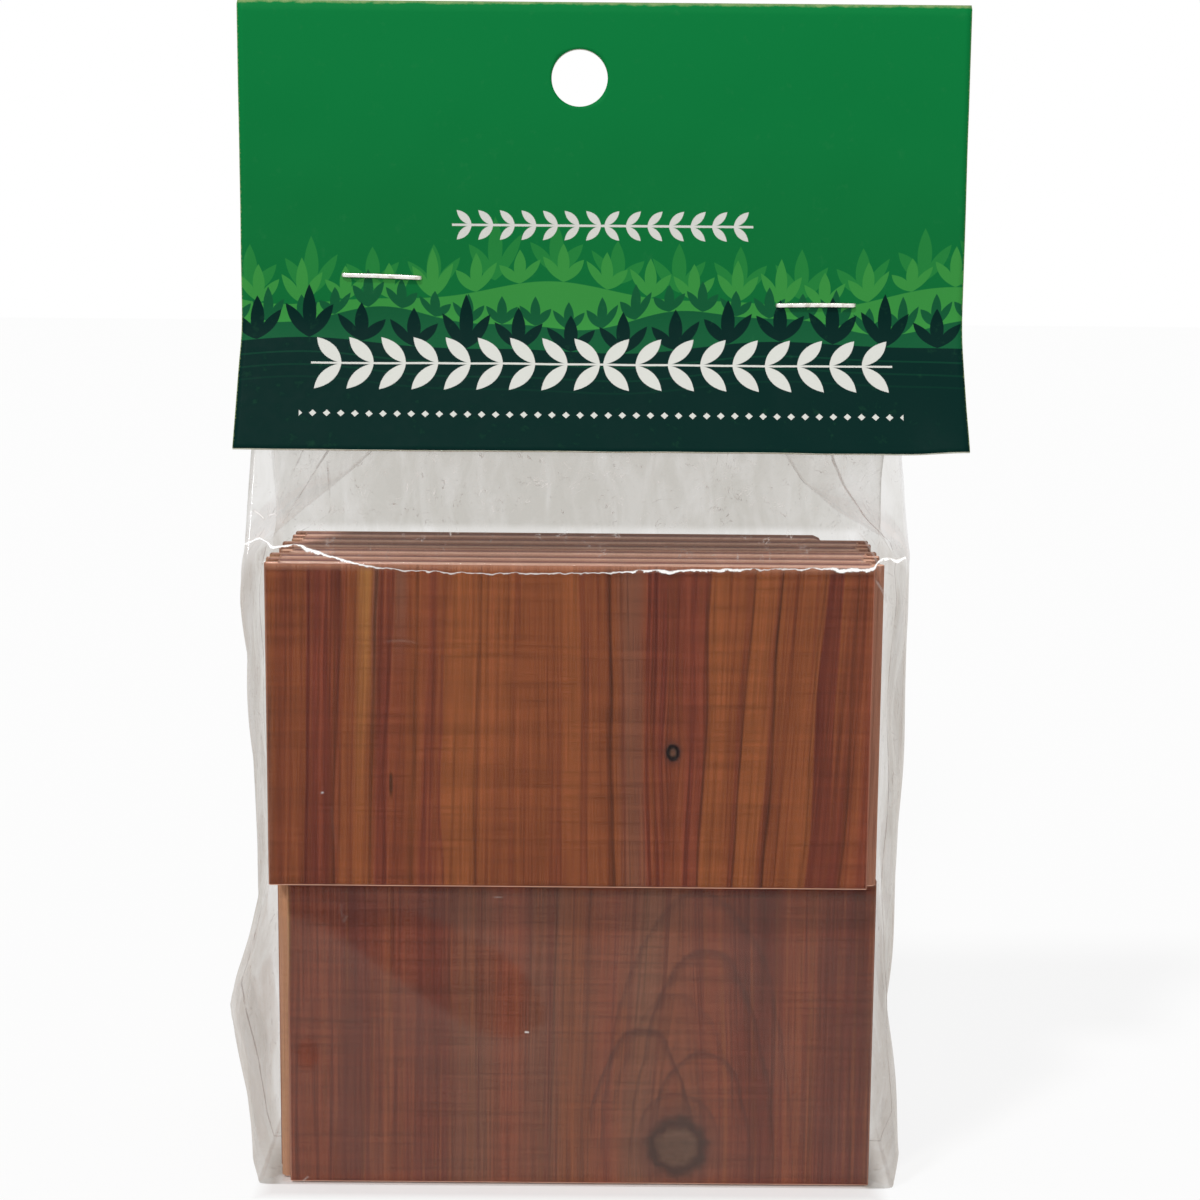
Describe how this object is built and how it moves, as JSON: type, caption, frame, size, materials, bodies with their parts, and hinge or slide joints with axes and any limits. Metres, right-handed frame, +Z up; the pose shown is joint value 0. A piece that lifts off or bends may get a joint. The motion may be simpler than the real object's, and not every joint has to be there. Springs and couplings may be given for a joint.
{
  "type": "cedar plank hang pack",
  "caption": "Clear gusseted bag of small tongued and grooved cedar planks in two rows, closed by a stapled folded card header with a round hang hole.",
  "frame": {"origin": "on the ground at the middle of the bag's base, halfway between the front of the upper row and the back of the lower row", "axes": "+Z up along the planks' grain to the header's fold, +X to the right and -Y towards the viewer, who sees the header's front panel"},
  "size_m": [0.1144, 0.0448, 0.1875],
  "materials": {
    "card": "satin",
    "wire": "satin",
    "film": "gloss",
    "cedar": "satin"
  },
  "bodies": {
    "bag": {"bag_pouch": "film", "bag_neck": "film"},
    "header": {"header_card": "card", "staple_left": "wire", "staple_right": "wire", "bag_mouth": "film"},
    "upper_plank_1": {"upper_plank_1": "cedar"},
    "upper_plank_2": {"upper_plank_2": "cedar"},
    "upper_plank_3": {"upper_plank_3": "cedar"},
    "upper_plank_4": {"upper_plank_4": "cedar"},
    "upper_plank_5": {"upper_plank_5": "cedar"},
    "upper_plank_6": {"upper_plank_6": "cedar"},
    "lower_plank_1": {"lower_plank_1": "cedar"},
    "lower_plank_2": {"lower_plank_2": "cedar"},
    "lower_plank_3": {"lower_plank_3": "cedar"},
    "lower_plank_4": {"lower_plank_4": "cedar"},
    "lower_plank_5": {"lower_plank_5": "cedar"},
    "lower_plank_6": {"lower_plank_6": "cedar"}
  },
  "joints": [
    {"name": "header_tilt", "type": "hinge", "parent": "bag", "child": "header", "pos_m": [0, 0, 0.1168], "axis": [1, 0, 0], "range_deg": [-15, 15], "stiffness_Nm_per_rad": 0.008, "deforming": ["bag_neck"]},
    {"name": "upper_plank_1_shuffle", "type": "slide", "parent": "bag", "child": "upper_plank_1", "axis": [1, 0, 0], "range_m": [-0.001, 0.001]},
    {"name": "upper_plank_2_lift", "type": "slide", "parent": "bag", "child": "upper_plank_2", "axis": [0, 0, 1], "range_m": [0, 0.002]},
    {"name": "upper_plank_3_lift", "type": "slide", "parent": "bag", "child": "upper_plank_3", "axis": [0, 0, 1], "range_m": [0, 0.002]},
    {"name": "upper_plank_4_lift", "type": "slide", "parent": "bag", "child": "upper_plank_4", "axis": [0, 0, 1], "range_m": [0, 0.002]},
    {"name": "upper_plank_5_lift", "type": "slide", "parent": "bag", "child": "upper_plank_5", "axis": [0, 0, 1], "range_m": [0, 0.002]},
    {"name": "upper_plank_6_shuffle", "type": "slide", "parent": "bag", "child": "upper_plank_6", "axis": [1, 0, 0], "range_m": [-0.001, 0.001]},
    {"name": "lower_plank_1_shuffle", "type": "slide", "parent": "bag", "child": "lower_plank_1", "axis": [1, 0, 0], "range_m": [-0.001, 0.001]},
    {"name": "lower_plank_2_shuffle", "type": "slide", "parent": "bag", "child": "lower_plank_2", "axis": [1, 0, 0], "range_m": [-0.001, 0.001]},
    {"name": "lower_plank_3_shuffle", "type": "slide", "parent": "bag", "child": "lower_plank_3", "axis": [1, 0, 0], "range_m": [-0.001, 0.001]},
    {"name": "lower_plank_4_shuffle", "type": "slide", "parent": "bag", "child": "lower_plank_4", "axis": [1, 0, 0], "range_m": [-0.001, 0.001]},
    {"name": "lower_plank_5_shuffle", "type": "slide", "parent": "bag", "child": "lower_plank_5", "axis": [1, 0, 0], "range_m": [-0.001, 0.001]},
    {"name": "lower_plank_6_shuffle", "type": "slide", "parent": "bag", "child": "lower_plank_6", "axis": [1, 0, 0], "range_m": [-0.001, 0.001]}
  ]
}
